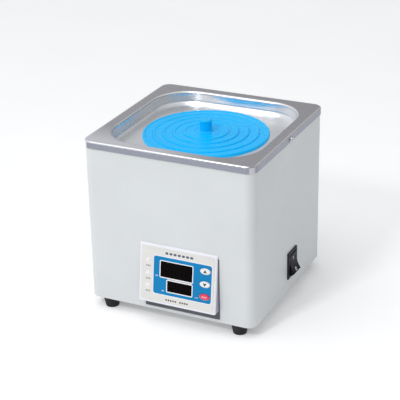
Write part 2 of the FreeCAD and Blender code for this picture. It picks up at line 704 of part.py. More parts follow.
def rocker():
    """Rocker with a hollowed face, round ends and its two pins, in the position it rests in."""
    px, pz = ROCKER_PIVOT_X, SWITCH_Z
    end_x = 7.3
    end_z = math.sqrt(ROCKER_R ** 2 - end_x ** 2)
    foot_x = -1.0
    foot_z = math.sqrt(ROCKER_R ** 2 - foot_x ** 2)
    mid = math.radians(70)
    side_x, side_z = ROCKER_R * math.cos(mid), ROCKER_R * math.sin(mid)

    def at(dx, dz):
        return V(px + dx, SWITCH_Y - ROCKER_HALF_Y, pz + dz)

    edges = [Part.Arc(at(end_x, end_z), at(5.0, 0), at(end_x, -end_z)).toShape()]
    edges.append(Part.Arc(at(end_x, -end_z), at(side_x, -side_z), at(foot_x, -foot_z)).toShape())
    edges.append(Part.LineSegment(at(foot_x, -foot_z), at(-5.0, -4.0)).toShape())
    edges.append(Part.LineSegment(at(-5.0, -4.0), at(-5.0, 4.0)).toShape())
    edges.append(Part.LineSegment(at(-5.0, 4.0), at(foot_x, foot_z)).toShape())
    edges.append(Part.Arc(at(foot_x, foot_z), at(side_x, side_z), at(end_x, end_z)).toShape())
    body = Part.Face(Part.Wire(edges)).extrude(V(0, 2 * ROCKER_HALF_Y, 0))
    pins = rod(1.5, (px, SWITCH_Y - 10.6, pz), (0, 1, 0), 21.2)
    body = body.fuse(pins).removeSplitter()
    body.rotate(V(px, SWITCH_Y, pz), V(0, 1, 0), -ROCKER_TILT)
    return body


# ---- mains inlet ----
INLET_PINS = ((-7.0, -2.0), (7.0, -2.0), (0.0, 2.0))


def inlet_body():
    """Three-pin appliance inlet: flange, shrouded socket and a back wall that holds the pins."""
    wall = CASING_HALF
    flange = slab(25, 11.5, 8, 0, 2.5)
    tub = slab(13.5, 9.9, 2, -21, 0)
    socket = slab(12.0, 7.9, 3, -15.5, 4)
    body = flange.fuse(tub).removeSplitter().cut(socket)
    for side in (-1, 1):
        body = body.cut(rod(1.7, (side * 20, 0, -1), (0, 0, 1), 5))
    for u, v in INLET_PINS:
        body = body.cut(box(u - 1, u + 1, v - 2, v + 2, -22, -10))
    body.rotate(V(0, 0, 0), V(1, 0, 0), -90)
    body.translate(V(INLET_X, wall, INLET_Z))
    return body


def inlet_pins():
    pins = []
    for u, v in INLET_PINS:
        pins.append(box(INLET_X + u - 1, INLET_X + u + 1, CASING_HALF - 30, CASING_HALF - 3.6,
                        INLET_Z - v - 2, INLET_Z - v + 2))
    return Part.makeCompound(pins)


def inlet_screws():
    screws = []
    for side in (-1, 1):
        x = INLET_X + side * 20
        head = rod(2.7, (x, CASING_HALF + 2.5, INLET_Z), (0, 1, 0), 1.6)
        shaft = rod(1.6, (x, CASING_HALF - 6, INLET_Z), (0, 1, 0), 8.5)
        screws.append(head.fuse(shaft).removeSplitter())
    return Part.makeCompound(screws)


# ---- power electronics on the base ----
STANDOFFS = ((-58, -26), (28, -26), (-58, 36), (28, 36))


def power_board():
    board = slab(48.0, 36.0, 1.5, POWER_BOARD_Z, POWER_BOARD_Z + BOARD_T, (-15, 5))
    for x, y in STANDOFFS:
        board = board.cut(rod(1.5, (x, y, POWER_BOARD_Z - 1), (0, 0, 1), 4))
    return board


def board_standoffs():
    posts = []
    for x, y in STANDOFFS:
        post = hexagon(6.0, BASE_TOP, POWER_BOARD_Z, (x, y))
        posts.append(post.cut(rod(1.5, (x, y, POWER_BOARD_Z - 5), (0, 0, 1), 6)))
    return Part.makeCompound(posts)


def board_screws():
    screws = []
    top = POWER_BOARD_Z + BOARD_T
    for x, y in STANDOFFS:
        head = rod(2.7, (x, y, top), (0, 0, 1), 2.0)
        screws.append(head.fuse(rod(1.5, (x, y, top - 6), (0, 0, 1), 6)).removeSplitter())
    return Part.makeCompound(screws)


def transformer():
    """Small mains transformer: laminated core with a bobbin through it."""
    z = POWER_BOARD_Z + BOARD_T
    core = box(-56, -26, -14, 4, z + 2, z + 26)
    bobbin = box(-51, -31, -20, 10, z, z + 21).cut(box(-52, -30, -14, 4, z + 2, z + 26))
    return core.fuse(bobbin).removeSplitter()


def heater_relay():
    z = POWER_BOARD_Z + BOARD_T
    case = box(-14, 4, -22, -3, z, z + 16)
    return case.makeFillet(0.8, [e for e in case.Edges if e.BoundBox.ZMin > z + 15.9])


def board_fuse():
    """Glass fuse lying in two clips."""
    z = POWER_BOARD_Z + BOARD_T
    body = rod(2.6, (-54, 30, z + 4.5), (1, 0, 0), 20)
    for x in (-53, -40):
        body = body.fuse(box(x, x + 5, 27, 33, z, z + 5.5))
    return body.removeSplitter()


def terminal_block():
    """Screw terminals for the mains and heater leads."""
    z = POWER_BOARD_Z + BOARD_T
    body = box(18, 30, -20, 30, z, z + 12)
    for k in range(5):
        y = -15 + 10 * k
        body = body.cut(rod(2.2, (26.5, y, z + 7), (0, 0, 1), 6))
        body = body.cut(box(28, 31, y - 2.5, y + 2.5, z + 2, z + 7))
    return body


def earth_stud():
    x, y = -78.0, 62.0
    stud = rod(2.0, (x, y, BASE_TOP), (0, 0, 1), 14)
    return stud.fuse(hexagon(7.0, BASE_TOP, BASE_TOP + 3.2, (x, y))).removeSplitter()


# ---- wiring ----
def mains_leads():
    """Leads from the inlet to the switch and from the switch to the terminal block."""
    inlet_y = CASING_HALF - 30
    lead_z = INLET_Z + 2
    in_y, in_z = SWITCH_Y + 5, SWITCH_Z + 7
    out_y, out_z = SWITCH_Y - 5, SWITCH_Z - 7
    runs = [bent_tube([(INLET_X + 7, inlet_y, lead_z), (INLET_X + 7, 40, lead_z), (56, 24, in_z),
                       (56, in_y, in_z), (62, in_y, in_z)], 1.6, 3.2)]
    runs.append(bent_tube([(62, out_y, out_z), (52, out_y, out_z), (44, 5, 28.1), (30, 5, 28.1)], 1.6, 4.0))
    runs.append(bent_tube([(INLET_X - 7, inlet_y, lead_z), (INLET_X - 7, 45, lead_z), (38, 25, 28.1),
                           (30, 25, 28.1)], 1.6, 3.4))
    return Part.makeCompound(runs)


def heater_leads():
    end_z = TANK_FLOOR - 16
    top = POWER_BOARD_Z + BOARD_T
    runs = [bent_tube([(HEATER_X, HEATER_Y, end_z), (HEATER_X, HEATER_Y, 56), (44, -5, 48), (44, -5, 28.1),
                       (30, -5, 28.1)], 1.6, 4.0)]
    runs.append(bent_tube([(-HEATER_X, HEATER_Y, end_z), (-HEATER_X, HEATER_Y, 54), (-8, 30, 54),
                           (8, 10, 44), (8, 10, top)], 1.6, 6.0))
    return Part.makeCompound(runs)


def probe_lead():
    start = -TANK_OUT - PROBE_BACK
    return bent_tube([(PROBE_X, start, PROBE_Z), (PROBE_X, start - 3.1, PROBE_Z),
                      (PROBE_X, start - 3.1, 60), (22, -60, 44), (9, -24, 44), (9, -24, 23.6)], 1.4, 2.8)


def panel_cable():
    """Cable from the control board back to the power board."""
    plug_back = BOARD_N - BOARD_T - 6
    start = PANEL.multVec(V(0, 0, plug_back))
    turn = PANEL.multVec(V(0, 0, plug_back - 12))
    return bent_tube([tuple(start), tuple(turn), (4, -50, 40), (-20, -27, 40), (-20, -27, 23.6)], 2.0, 6.0)


def build():
    os.makedirs("parts", exist_ok=True)
    save("casing", casing())
    save("deck", deck())
    save("deck_screws", deck_screws())
    save("base_plate", base_plate())
    save("base_screws", base_screws())
    for name, x, y in (("foot_front_left", -1, -1), ("foot_front_right", 1, -1),
                       ("foot_back_left", -1, 1), ("foot_back_right", 1, 1)):
        save(name, foot(x * FOOT_X, y * FOOT_Y))
    save("foot_screws", foot_screws())
    save("tank", tank())
    save("tank_insulation", tank_insulation())
    save("heater", heater())
    save("heater_nuts", heater_nuts())
    save("heater_seals", heater_seals())
    save("temperature_probe", temperature_probe())
    save("probe_gland", probe_gland())
    save("overheat_thermostat", overheat_thermostat())
    save("shelf", shelf())
    for k in range(RING_COUNT):
        save("lid_ring_%d" % (k + 1), lid_ring(k))
    save("lid_cap", lid_cap())
    save("lid_knob", lid_knob())
    save("knob_screw", knob_screw())
    save("panel_housing", panel_housing())
    save("panel_fascia", panel_fascia())
    save("panel_screws", panel_screws())
    save("upper_window", display_window(UPPER_WINDOW))
    save("lower_window", display_window(LOWER_WINDOW))
    save("upper_display", display_module(UPPER_WINDOW))
    save("lower_display", display_module(LOWER_WINDOW))
    for k, v in enumerate(ROW_V):
        save("indicator_light_%d" % (k + 1), indicator_light(v))
    for name, v in keys():
        save(name, key(v))
    save("key_switches", key_switches())
    save("control_board", control_board())
    save("control_board_screws", control_board_screws())
    save("switch_body", switch_body())
    save("switch_terminals", switch_terminals())
    save("rocker", rocker())
    save("inlet_body", inlet_body())
    save("inlet_pins", inlet_pins())
    save("inlet_screws", inlet_screws())
    save("power_board", power_board())
    save("board_standoffs", board_standoffs())
    save("board_screws", board_screws())
    save("transformer", transformer())
    save("heater_relay", heater_relay())
    save("board_fuse", board_fuse())
    save("terminal_block", terminal_block())
    save("earth_stud", earth_stud())
    save("mains_leads", mains_leads())
    save("heater_leads", heater_leads())
    save("probe_lead", probe_lead())
    save("panel_cable", panel_cable())


build()
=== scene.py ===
"""Looks of a single-hole laboratory water bath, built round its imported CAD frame.
Metres, +Z up, control panel towards -Y."""
import json
import math

import bmesh
import bpy
from mathutils import Matrix, Vector
from mathutils.bvhtree import BVHTree


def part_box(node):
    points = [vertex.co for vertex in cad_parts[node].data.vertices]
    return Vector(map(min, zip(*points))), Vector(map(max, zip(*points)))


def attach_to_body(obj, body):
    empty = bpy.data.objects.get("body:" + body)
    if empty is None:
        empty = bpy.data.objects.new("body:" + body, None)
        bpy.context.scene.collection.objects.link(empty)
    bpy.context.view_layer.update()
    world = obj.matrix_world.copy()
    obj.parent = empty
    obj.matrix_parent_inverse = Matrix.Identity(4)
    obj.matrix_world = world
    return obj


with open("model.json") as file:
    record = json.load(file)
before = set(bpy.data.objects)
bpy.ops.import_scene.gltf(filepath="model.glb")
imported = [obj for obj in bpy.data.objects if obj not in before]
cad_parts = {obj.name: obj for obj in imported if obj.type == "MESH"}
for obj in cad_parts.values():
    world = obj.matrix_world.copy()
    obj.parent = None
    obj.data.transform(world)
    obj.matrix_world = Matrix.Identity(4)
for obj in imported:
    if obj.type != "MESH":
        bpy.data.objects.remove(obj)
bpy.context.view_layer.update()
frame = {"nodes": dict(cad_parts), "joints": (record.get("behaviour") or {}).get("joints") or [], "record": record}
NODES = frame["nodes"]
MM = 0.001


def centre_of(node):
    low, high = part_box(node)
    return (low + high) / 2


def span_of(node):
    low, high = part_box(node)
    return high - low


def feed(tree, socket, value):
    """Links a socket to another node's output, or gives it a plain value."""
    if isinstance(value, bpy.types.NodeSocket):
        tree.links.new(value, socket)
    else:
        socket.default_value = value


# ---------------------------------------------------------------- the panel's face
class Face:
    """A flat or nearly flat face to print on: right, up and outward directions from an origin."""

    def __init__(self, origin, right, up):
        self.origin = origin
        self.right = right.normalized()
        self.out = self.right.cross(up).normalized()
        self.up = self.out.cross(self.right)

    def at(self, u, v, n=0.0):
        return self.origin + (self.right * u + self.up * v + self.out * n) * MM

    def place(self, point):
        """u, v and n of a point, in millimetres."""
        offset = (point - self.origin) / MM
        return offset.dot(self.right), offset.dot(self.up), offset.dot(self.out)


PRESS_AXIS = Vector(next(joint["axis"] for joint in frame["joints"] if joint["name"] == "key_up_press"))
PANEL = Face(centre_of("panel_fascia"), Vector((1, 0, 0)), Vector((0, -PRESS_AXIS.z, PRESS_AXIS.y)))


# ---------------------------------------------------------------- finishes
class Finish:
    """A Principled material whose colour, roughness and relief come from patterns in object space."""

    def __init__(self, name, roughness=0.5, metallic=0.0, **constants):
        self.material = bpy.data.materials.new(name)
        self.material.use_nodes = True
        self.tree = self.material.node_tree
        self.shader = self.tree.nodes["Principled BSDF"]
        self.shader.inputs["Roughness"].default_value = roughness
        self.shader.inputs["Metallic"].default_value = metallic
        for socket, value in constants.items():
            self.shader.inputs[socket.replace("_", " ")].default_value = value
        self.where = self.tree.nodes.new("ShaderNodeTexCoord").outputs["Object"]
        self.relief = None

    def node(self, kind, **links):
        made = self.tree.nodes.new(kind)
        for socket, value in links.items():
            self.feed(made.inputs[socket], value)
        return made

    def feed(self, socket, value):
        feed(self.tree, socket, value)

    def noise(self, scale, detail=2.0, stretch=(1, 1, 1)):
        """Noise with features about 1/scale metres across, drawn out where stretch is small."""
        mapped = self.node("ShaderNodeMapping", Vector=self.where)
        mapped.inputs["Scale"].default_value = stretch
        made = self.node("ShaderNodeTexNoise", Vector=mapped.outputs["Vector"])
        made.inputs["Scale"].default_value = scale
        made.inputs["Detail"].default_value = detail
        return made.outputs["Fac"]

    def spread(self, pattern, low, high, start=0.35, end=0.65):
        """Carries a pattern's middle range onto low to high."""
        made = self.node("ShaderNodeMapRange", Value=pattern)
        for socket, value in (("From Min", start), ("From Max", end), ("To Min", low), ("To Max", high)):
            made.inputs[socket].default_value = value
        return made.outputs["Result"]

    def rise(self, distance, start, end):
        """0 below start and 1 past end, both in millimetres."""
        return self.spread(distance, 0, 1, start * MM, end * MM)

    def fall(self, distance, start, end):
        """1 below start and 0 past end, both in millimetres."""
        return self.spread(distance, 1, 0, start * MM, end * MM)

    def mix(self, pattern, first, second):
        made = self.tree.nodes.new("ShaderNodeMix")
        made.data_type = "RGBA"
        self.feed(made.inputs["Factor"], pattern)
        self.feed(made.inputs[6], first)
        self.feed(made.inputs[7], second)
        return made.outputs[2]

    def math(self, operation, first, second=0.0):
        made = self.tree.nodes.new("ShaderNodeMath")
        made.operation = operation
        self.feed(made.inputs[0], first)
        self.feed(made.inputs[1], second)
        return made.outputs[0]

    def along(self, direction, origin):
        """Distance from the origin along a direction, in metres."""
        dot = self.tree.nodes.new("ShaderNodeVectorMath")
        dot.operation = "DOT_PRODUCT"
        self.feed(dot.inputs[0], self.where)
        dot.inputs[1].default_value = direction
        return self.math("SUBTRACT", dot.outputs["Value"], Vector(direction).dot(origin))

    def colour(self, value):
        self.feed(self.shader.inputs["Base Color"], value)
        return self

    def rough(self, value):
        self.feed(self.shader.inputs["Roughness"], value)
        return self

    def bump(self, pattern, distance, strength=1.0):
        made = self.node("ShaderNodeBump", Height=pattern)
        made.inputs["Distance"].default_value = distance
        made.inputs["Strength"].default_value = strength
        if self.relief:
            self.feed(made.inputs["Normal"], self.relief)
        self.relief = made.outputs["Normal"]
        self.feed(self.shader.inputs["Normal"], self.relief)
        return self


def shade(rgb, factor):
    return tuple(c * factor for c in rgb[:3]) + (1.0,)


def powder_coat(name, rgb, rough=0.42):
    """Sprayed powder coat: slow unevenness, orange peel and fine grit."""
    f = Finish(name, Specular_IOR_Level=0.45, Coat_Weight=0.12, Coat_Roughness=0.3)
    f.colour(f.mix(f.spread(f.noise(14, 3), 0, 1), shade(rgb, 0.975), shade(rgb, 1.015)))
    f.rough(f.spread(f.noise(60, 4), rough - 0.05, rough + 0.06))
    f.bump(f.noise(420, 3), 0.00010, 0.55)
    return f.bump(f.noise(2600, 2), 0.00002, 0.35).material


def brushed(name, rgb, rough=0.27, along=(0.012, 1, 1), scale=1700.0, relief=0.000008):
    """Steel sheet with a fine grain drawn along one axis and faint smudges."""
    f = Finish(name, metallic=1.0, Anisotropic=0.45)
    grain = f.noise(scale, 3, along)
    bands = f.noise(scale / 9, 2, along)
    smudge = f.noise(22, 3)
    tint = f.mix(f.spread(grain, 0, 1), shade(rgb, 0.90), shade(rgb, 1.08))
    f.colour(f.mix(f.spread(bands, 0, 0.45), tint, shade(rgb, 0.93)))
    f.rough(f.math("ADD", f.spread(grain, rough - 0.05, rough + 0.08), f.spread(smudge, -0.03, 0.05)))
    return f.bump(grain, relief, 0.6).material


# Where the deck's painted reflections change its tone, in millimetres below its top or out from its middle.
RECESS_DEPTH = (0.3, 2.2)
RECESS_EDGE = (88, 92)
SKIRT_DEPTH = (1.2, 2.0)
SKIRT_EDGE = (98.0, 98.8)
OUTER_BEND_DEPTH = (0.7, 1.1)
OUTER_BEND_EDGE = (97.8, 98.5)
INNER_BEND_START = (0.1, 0.3)
INNER_BEND_END = (0.9, 1.5)
SHINE_FRONT = (50, 90)
SHINE_LEFT = (-10, 60)
# The housing's painted shade and painted highlight: out from the middle of the overlay's sheet, and past the
# housing's outline.
HOUSING_SHADE_SIDE = (-3.2, -2.2)
HOUSING_HIGHLIGHT_EDGE = (-2.4, -1.8)


def deck_steel():
    """The deck's steel: satin rim, lighter recess, bends and left part of the front rim, darker skirt.
    The steel is one sheet: these tones stand in for what it reflects in a studio."""
    f = Finish("deck_steel", metallic=1.0, Anisotropic=0.3)
    middle = centre_of("deck")
    top = Vector((0, 0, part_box("deck")[1].z))
    out = f.math("MAXIMUM", f.math("ABSOLUTE", f.along((1, 0, 0), middle)),
                 f.math("ABSOLUTE", f.along((0, 1, 0), middle)))
    down = f.math("MULTIPLY", f.along((0, 0, 1), top), -1.0)
    within = f.fall(out, *RECESS_EDGE)
    recess = f.math("MULTIPLY", f.rise(down, *RECESS_DEPTH), within)
    skirt = f.math("MULTIPLY", f.rise(down, *SKIRT_DEPTH), f.rise(out, *SKIRT_EDGE))
    outer_bend = f.math("MULTIPLY", f.fall(down, *OUTER_BEND_DEPTH), f.rise(out, *OUTER_BEND_EDGE))
    inner_bend = f.math("MULTIPLY", f.rise(down, *INNER_BEND_START), f.fall(down, *INNER_BEND_END))
    inner_bend = f.math("MULTIPLY", inner_bend, within)
    front_left = f.math("MULTIPLY", f.rise(f.along((0, -1, 0), middle), *SHINE_FRONT),
                        f.fall(f.along((1, 0, 0), middle), *SHINE_LEFT))
    grain = f.noise(2600.0, 3, (0.03, 1, 1))
    smudge = f.noise(18, 3)
    tint = f.mix(f.spread(grain, 0, 1), (0.505, 0.497, 0.535, 1), (0.545, 0.535, 0.575, 1))
    tint = f.mix(f.spread(smudge, 0, 0.4), tint, (0.51, 0.50, 0.535, 1))
    # Painted reflections: lighter front-left rim and recess, darker skirt, bright bends.
    tint = f.mix(front_left, tint, (0.90, 0.90, 0.95, 1))
    tint = f.mix(recess, tint, (0.93, 0.94, 0.96, 1))
    tint = f.mix(skirt, tint, (0.29, 0.30, 0.355, 1))
    f.colour(f.mix(f.math("MAXIMUM", outer_bend, inner_bend), tint, (0.95, 0.95, 0.97, 1)))
    satin = f.math("ADD", f.spread(grain, 0.26, 0.32), f.spread(smudge, -0.02, 0.03))
    f.rough(f.math("SUBTRACT", satin, f.math("MULTIPLY", recess, 0.06)))
    return f.bump(grain, 0.000004, 0.4).material


def plastic(name, rgb, rough=0.35, grit=1800.0, depth=0.000012, cloud=0.03, **constants):
    """Moulded plastic: faint cloudiness, uneven gloss and a fine tool texture."""
    f = Finish(name, **constants)
    f.colour(f.mix(f.spread(f.noise(35, 2), 0, 1), shade(rgb, 1 - cloud), shade(rgb, 1 + cloud)))
    f.rough(f.spread(f.noise(110, 3), rough - 0.04, rough + 0.06))
    return f.bump(f.noise(grit, 2), depth, 0.5).material


def rubber(name, rgb):
    """Matt moulded rubber, unevenly dark."""
    f = Finish(name, Specular_IOR_Level=0.35)
    f.colour(f.mix(f.spread(f.noise(300, 4), 0, 1), shade(rgb, 0.7), shade(rgb, 1.7)))
    f.rough(f.spread(f.noise(90, 3), 0.58, 0.78))
    return f.bump(f.noise(1500, 3), 0.00004, 0.6).material


def bright_metal(name, rgb, rough=0.2):
    """Plated or turned metal with a light haze."""
    f = Finish(name, metallic=1.0)
    f.colour(f.mix(f.spread(f.noise(260, 3), 0, 1), shade(rgb, 0.88), shade(rgb, 1.06)))
    f.rough(f.spread(f.noise(420, 3), rough - 0.05, rough + 0.12))
    return f.bump(f.noise(1400, 2), 0.00001, 0.4).material


def wool(name, rgb):
    """Matted fibres, drawn out upwards."""
    f = Finish(name, Sheen_Weight=0.3)
    fibre = f.noise(520, 5, (1, 1, 0.18))
    f.colour(f.mix(f.spread(fibre, 0, 1), shade(rgb, 0.62), shade(rgb, 1.15)))
    f.rough(f.spread(f.noise(80, 2), 0.82, 0.95))
    return f.bump(fibre, 0.0006, 0.9).material


def board(name, rgb):
    """Solder mask over fine copper tracks."""
    f = Finish(name, Coat_Weight=0.3)
    tracks = f.node("ShaderNodeTexBrick", Vector=f.where)
    tracks.inputs["Scale"].default_value = 160
    tracks.inputs["Mortar Size"].default_value = 0.03
    tracks.inputs["Color1"].default_value = shade(rgb, 1.0)
    tracks.inputs["Color2"].default_value = shade(rgb, 0.8)
    tracks.inputs["Mortar"].default_value = shade(rgb, 1.7)
    f.colour(tracks.outputs["Color"])
    f.rough(f.spread(f.noise(150, 2), 0.3, 0.42))
    return f.bump(f.noise(900, 2), 0.00002, 0.5).material


def lid_plastic(name, rgb):
    """Azure moulded lid: slightly cloudy, with faint flow marks. The faint glow stands in for
    the light that passes through the thin plastic."""
    f = Finish(name, Specular_IOR_Level=0.16, Coat_Weight=0.12, Coat_Roughness=0.08, Subsurface_Weight=0.12,
               Subsurface_Scale=0.004, Emission_Color=(0.0, 0.48, 1.0, 1), Emission_Strength=0.10)
    f.colour(f.mix(f.spread(f.noise(24, 3), 0, 1), shade(rgb, 0.97), shade(rgb, 1.03)))
    f.rough(f.spread(f.noise(70, 3), 0.24, 0.34))
    f.bump(f.noise(90, 2), 0.00006, 0.2)
    return f.bump(f.noise(1500, 2), 0.000008, 0.4).material


def housing_white(name):
    """Moulded panel housing: a painted highlight on its outer edge and a face like the overlay. The housing is one
    white:
    the grey-violet of its sides is painted shade."""
    f = Finish(name, Specular_IOR_Level=0.4)
    low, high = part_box("panel_housing")
    middle = (low + high) / 2
    half = (high - low) / 2
    # Painted shade: the housing's sides are made grey-violet.
    side = f.fall(f.along(tuple(PANEL.out), PANEL.origin), *HOUSING_SHADE_SIDE)
    beside = f.math("SUBTRACT", f.math("ABSOLUTE", f.along((1, 0, 0), middle)), half.x)
    above = f.math("SUBTRACT", f.math("ABSOLUTE", f.along((0, 0, 1), middle)), half.z)
    # Painted highlight: the band along the housing's outer edge is made brighter.
    border = f.rise(f.math("MAXIMUM", beside, above), *HOUSING_HIGHLIGHT_EDGE)
    cloud = f.spread(f.noise(35, 2), 0, 1)
    face = f.mix(cloud, (0.755, 0.750, 0.735, 1), (0.785, 0.780, 0.765, 1))
    edge = f.mix(cloud, (0.86, 0.86, 0.92, 1), (0.89, 0.89, 0.95, 1))
    f.colour(f.mix(side, f.mix(border, face, edge), (0.40, 0.40, 0.50, 1)))
    f.rough(f.spread(f.noise(110, 3), 0.34, 0.44))
    return f.bump(f.noise(1400, 2), 0.00002, 0.5).material


def clear_glass(name):
    """Clear glass, for the fuse and its clips, which are one node."""
    f = Finish(name, Transmission_Weight=0.9, IOR=1.45)
    f.colour((0.92, 0.95, 0.95, 1.0))
    f.rough(f.spread(f.noise(60, 2), 0.03, 0.08))
    return f.bump(f.noise(200, 2), 0.00001, 0.2).material


MATERIALS = {
    "casing_paint": powder_coat("casing_paint", (0.705, 0.730, 0.740)),
    "base_paint": powder_coat("base_paint", (0.34, 0.35, 0.36), 0.5),
    "stainless": brushed("stainless", (0.46, 0.445, 0.475)),
    "screw_steel": bright_metal("screw_steel", (0.72, 0.72, 0.74)),
    "foot_rubber": rubber("foot_rubber", (0.012, 0.012, 0.014)),
    "silicone": plastic("silicone", (0.62, 0.62, 0.58), 0.45, Subsurface_Weight=0.2),
    # Dark colour of the sheet that paints the panel's shadow on the casing.
    "panel_shadow_dark": plastic("panel_shadow_dark", (0.105, 0.110, 0.130), 0.6, 900, 0.00004, 0.12),
    "mineral_wool": wool("mineral_wool", (0.62, 0.55, 0.32)),
    "heater_sheath": bright_metal("heater_sheath", (0.42, 0.39, 0.36), 0.32),
    "brass": bright_metal("brass", (0.72, 0.52, 0.22), 0.26),
    "lid_blue": lid_plastic("lid_blue", (0.002, 0.49, 0.98)),
    "panel_white": housing_white("panel_white"),
    "fascia_print": plastic("fascia_print", (0.775, 0.765, 0.74), 0.42, 2600, 0.00001, 0.015),
    "window_smoke": plastic("window_smoke", (0.0012, 0.0006, 0.0006), 0.1, 300, 0.000003, 0.3,
                            Specular_IOR_Level=0.04),
    "component_black": plastic("component_black", (0.02, 0.02, 0.022), 0.5),
    "component_green": plastic("component_green", (0.03, 0.22, 0.07), 0.42),
    "light_lens": plastic("light_lens", (0.95, 0.90, 0.90), 0.25, 900, 0.000004, 0.02),
    "key_white": plastic("key_white", (0.88, 0.88, 0.88), 0.26, 1500, 0.000006, 0.015),
    "key_red": plastic("key_red", (0.80, 0.035, 0.10), 0.28, 1500, 0.000006, 0.05),
    "board_green": board("board_green", (0.01, 0.12, 0.04)),
    "switch_black": plastic("switch_black", (0.010, 0.010, 0.016), 0.38, 1500, 0.00002, 0.2,
                            Specular_IOR_Level=0.3),
    "rocker_black": plastic("rocker_black", (0.006, 0.006, 0.012), 0.38, 1500, 0.00001, 0.2,
                            Specular_IOR_Level=0.1),
    "inlet_black": plastic("inlet_black", (0.016, 0.016, 0.017), 0.45, 1400, 0.00003, 0.2),
    "transformer_iron": brushed("transformer_iron", (0.16, 0.12, 0.09), 0.5, (1, 1, 0.02), 2400.0),
    "fuse_glass": clear_glass("fuse_glass"),
    "wire_cover": plastic("wire_cover", (0.03, 0.03, 0.035), 0.45, 900, 0.00002, 0.2),
}
INK = {
    "blue": plastic("ink_blue", (0.004, 0.23, 0.53), 0.4, 2600, 0.000008, 0.05,
                    Specular_IOR_Level=0.15),
    "white": plastic("ink_white", (0.94, 0.95, 0.96), 0.36, 2600, 0.000008, 0.015),
    "grey": plastic("ink_grey", (0.22, 0.22, 0.23), 0.4, 2600, 0.000008, 0.08),
    "silver": plastic("ink_silver", (0.66, 0.68, 0.69), 0.4, 2600, 0.000008, 0.04),
    "pale": plastic("ink_pale", (0.34, 0.36, 0.38), 0.4, 2600, 0.000008, 0.06),
    "slate": plastic("ink_slate", (0.075, 0.095, 0.16), 0.4, 2600, 0.000008, 0.08),
    "dark": plastic("ink_dark", (0.030, 0.022, 0.018), 0.36, 2600, 0.000008, 0.1),
    "pink": plastic("ink_pink", (0.80, 0.50, 0.50), 0.3, 2600, 0.000006, 0.04),
    "ghost": plastic("ink_ghost", (0.004, 0.0012, 0.0012), 0.1, 400, 0.000003, 0.1,
                     Specular_IOR_Level=0.04),
}
for part in frame["record"]["subparts"]:
    mesh = NODES[part["node"]].data
    mesh.materials.clear()
    mesh.materials.append(MATERIALS[part["material_slot"]])
# The deck's slot is stainless, as the tank's and the shelf's are, but its tone changes with place: painted
# reflections.
NODES["deck"].data.materials[0] = deck_steel()


# ---------------------------------------------------------------- flat printed shapes, in millimetres
WELD = 0.0001
DRAPE_STEP = 0.5         # longer edges are divided before a print is laid on a curved surface
RAY_START = 20.0         # above the face, clear of every part on it


def rounded(x, y, width, height, radius, steps=8):
    """Outline of a rectangle with rounded corners, anticlockwise."""
    points = []
    for k, (sx, sy) in enumerate(((1, 1), (-1, 1), (-1, -1), (1, -1))):
        cx = x + sx * (width / 2 - radius)
        cy = y + sy * (height / 2 - radius)
        for step in range(steps + 1):
            angle = math.radians(90 * (k + step / steps))
            points.append((cx + radius * math.cos(angle), cy + radius * math.sin(angle)))
    return points


def oval(x, y, a, b, steps=48):
    turn = [2 * math.pi * k / steps for k in range(steps)]
    return [(x + a * math.cos(t), y + b * math.sin(t)) for t in turn]


def slanted(x, y, width, height, lean):
    """Parallelogram whose top is moved sideways by lean."""
    return [(x - width / 2, y - height / 2), (x + width / 2, y - height / 2),
            (x + width / 2 + lean, y + height / 2), (x - width / 2 + lean, y + height / 2)]


def filled(name, outlines, thickness):
    """Flat plate between the outlines, as a mesh in millimetres. Inner outlines are holes."""
    curve = bpy.data.curves.new(name, "CURVE")
    curve.dimensions = "2D"
    curve.fill_mode = "BOTH"
    curve.extrude = thickness / 2
    for outline in outlines:
        spline = curve.splines.new("POLY")
        spline.points.add(len(outline) - 1)
        for point, (u, v) in zip(spline.points, outline):
            point.co = (u, v, 0, 1)
        spline.use_cyclic_u = True
    holder = bpy.data.objects.new(name + "_curve", curve)
    bpy.context.scene.collection.objects.link(holder)
    bpy.context.view_layer.update()
    graph = bpy.context.evaluated_depsgraph_get()
    mesh = bpy.data.meshes.new_from_object(holder.evaluated_get(graph))
    bpy.data.objects.remove(holder)
    mesh.name = name
    return mesh


def printed(name, face, outlines, ink, body, low, high, onto=None):
    """A thin layer from low to high above the face, or above the CAD node named by onto."""
    mesh = filled(name, outlines, high - low)
    form = bmesh.new()
    form.from_mesh(mesh)
    bmesh.ops.remove_doubles(form, verts=form.verts, dist=WELD)
    if onto:
        long_edges = [edge for edge in form.edges if edge.calc_length() > DRAPE_STEP]
        bmesh.ops.subdivide_edges(form, edges=long_edges, cuts=2, use_grid_fill=True)
        bmesh.ops.triangulate(form, faces=form.faces)
        surface = BVHTree.FromObject(NODES[onto], bpy.context.evaluated_depsgraph_get())
    for vertex in form.verts:
        height = (low + high) / 2 + vertex.co.z
        if onto:
            hit = surface.ray_cast(face.at(vertex.co.x, vertex.co.y, RAY_START), -face.out)[0]
            vertex.co = hit + face.out * height * MM
        else:
            vertex.co = face.at(vertex.co.x, vertex.co.y, height)
    form.to_mesh(mesh)
    form.free()
    attach(name, mesh, ink, body)


def attach(name, mesh, material, body):
    """Makes a mesh into a piece that rides a body."""
    mesh.materials.clear()
    mesh.materials.append(material)
    piece = bpy.data.objects.new(name, mesh)
    bpy.context.scene.collection.objects.link(piece)
    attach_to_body(piece, body)


